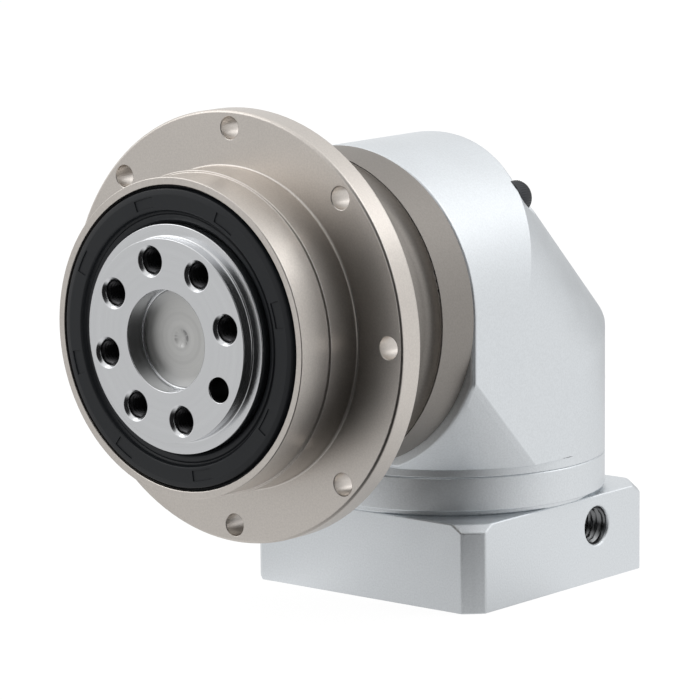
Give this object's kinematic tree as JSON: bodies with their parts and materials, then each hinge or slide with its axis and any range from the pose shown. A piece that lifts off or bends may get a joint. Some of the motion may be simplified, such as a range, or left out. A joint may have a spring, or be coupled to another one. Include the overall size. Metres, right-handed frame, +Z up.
{
  "type": "right-angle planetary gearbox",
  "caption": "Right-angle planetary gearbox with a rotating output flange, a round mounting flange and a square motor plate.",
  "frame": {"origin": "centre of the motor pilot at the motor plate's lower face", "axes": "+Z up along the input axis; the output axis is parallel to Y and the output face looks along -Y; +X is the side of the plate with the access hole"},
  "size_m": [0.086, 0.1208, 0.1042],
  "materials": {
    "ground_steel": "fine turned",
    "nickel_housing": "satin nickel",
    "blasted_aluminium": "fine blasted",
    "seal_rubber": "satin",
    "black_oxide": "black oxide",
    "plug_steel": "grey blasted",
    "bearing_steel": "polished",
    "gear_steel": "ground",
    "bush_bronze": "plain"
  },
  "bodies": {
    "housing": {"output_housing": "nickel_housing", "output_seal": "seal_rubber", "front_bearing_outer_ring": "bearing_steel", "front_retaining_ring": "black_oxide", "rear_bearing_outer_ring": "bearing_steel", "angle_housing": "blasted_aluminium", "housing_screws": "black_oxide", "screw_washers": "bearing_steel", "bevel_bearing_outer_ring": "bearing_steel", "input_bearing_outer_ring": "bearing_steel", "input_ring": "blasted_aluminium", "input_seal": "seal_rubber", "motor_plate": "blasted_aluminium", "plate_screws": "black_oxide"},
    "output": {"output_carrier": "ground_steel", "end_plug": "plug_steel", "planet_pins": "bearing_steel", "front_bearing_inner_ring": "bearing_steel", "rear_bearing_inner_ring": "bearing_steel"},
    "planet_1": {"planet_gear_1": "gear_steel", "planet_bush_1": "bush_bronze"},
    "planet_2": {"planet_gear_2": "gear_steel", "planet_bush_2": "bush_bronze"},
    "planet_3": {"planet_gear_3": "gear_steel", "planet_bush_3": "bush_bronze"},
    "sun": {"sun_shaft": "gear_steel", "bevel_gear": "gear_steel", "gear_key": "gear_steel", "gear_nut": "gear_steel", "bevel_bearing_inner_ring": "bearing_steel"},
    "input": {"input_shaft": "gear_steel", "bevel_pinion": "gear_steel", "pinion_key": "gear_steel", "pinion_nut": "gear_steel", "input_bearing_inner_ring": "bearing_steel", "clamp_screw": "black_oxide"},
    "front_rollers": {"front_bearing_rollers": "bearing_steel"},
    "rear_rollers": {"rear_bearing_rollers": "bearing_steel"},
    "bevel_rollers": {"bevel_bearing_rollers": "bearing_steel"},
    "input_rollers": {"input_bearing_rollers": "bearing_steel"}
  },
  "joints": [
    {"name": "output_spin", "type": "hinge", "parent": "housing", "child": "output", "pos_m": [0, 0, 0.06117], "axis": [0, -1, 0], "continuous": true},
    {"name": "planet_1_spin", "type": "hinge", "parent": "output", "child": "planet_1", "pos_m": [0, -0.0523, 0.07737], "axis": [0, -1, 0], "continuous": true},
    {"name": "planet_2_spin", "type": "hinge", "parent": "output", "child": "planet_2", "pos_m": [-0.01403, -0.0523, 0.05307], "axis": [0, -1, 0], "continuous": true},
    {"name": "planet_3_spin", "type": "hinge", "parent": "output", "child": "planet_3", "pos_m": [0.01403, -0.0523, 0.05307], "axis": [0, -1, 0], "continuous": true},
    {"name": "sun_spin", "type": "hinge", "parent": "housing", "child": "sun", "pos_m": [0, 0, 0.06117], "axis": [0, -1, 0], "continuous": true},
    {"name": "input_spin", "type": "hinge", "parent": "housing", "child": "input", "pos_m": [0, 0, 0], "axis": [0, 0, 1], "continuous": true},
    {"name": "front_rollers_spin", "type": "hinge", "parent": "housing", "child": "front_rollers", "pos_m": [0, 0, 0.06117], "axis": [0, -1, 0], "continuous": true},
    {"name": "rear_rollers_spin", "type": "hinge", "parent": "housing", "child": "rear_rollers", "pos_m": [0, 0, 0.06117], "axis": [0, -1, 0], "continuous": true},
    {"name": "bevel_rollers_spin", "type": "hinge", "parent": "housing", "child": "bevel_rollers", "pos_m": [0, 0, 0.06117], "axis": [0, -1, 0], "continuous": true},
    {"name": "input_rollers_spin", "type": "hinge", "parent": "housing", "child": "input_rollers", "pos_m": [0, 0, 0], "axis": [0, 0, 1], "continuous": true}
  ],
  "couplings": [
    {"joint": "planet_1_spin", "follows": "output_spin", "ratio": -3},
    {"joint": "planet_2_spin", "follows": "output_spin", "ratio": -3},
    {"joint": "planet_3_spin", "follows": "output_spin", "ratio": -3},
    {"joint": "sun_spin", "follows": "output_spin", "ratio": 4},
    {"joint": "input_spin", "follows": "output_spin", "ratio": 4},
    {"joint": "front_rollers_spin", "follows": "output_spin", "ratio": 0.46621},
    {"joint": "rear_rollers_spin", "follows": "output_spin", "ratio": 0.44871},
    {"joint": "bevel_rollers_spin", "follows": "output_spin", "ratio": 1.462},
    {"joint": "input_rollers_spin", "follows": "output_spin", "ratio": 1.5655}
  ]
}
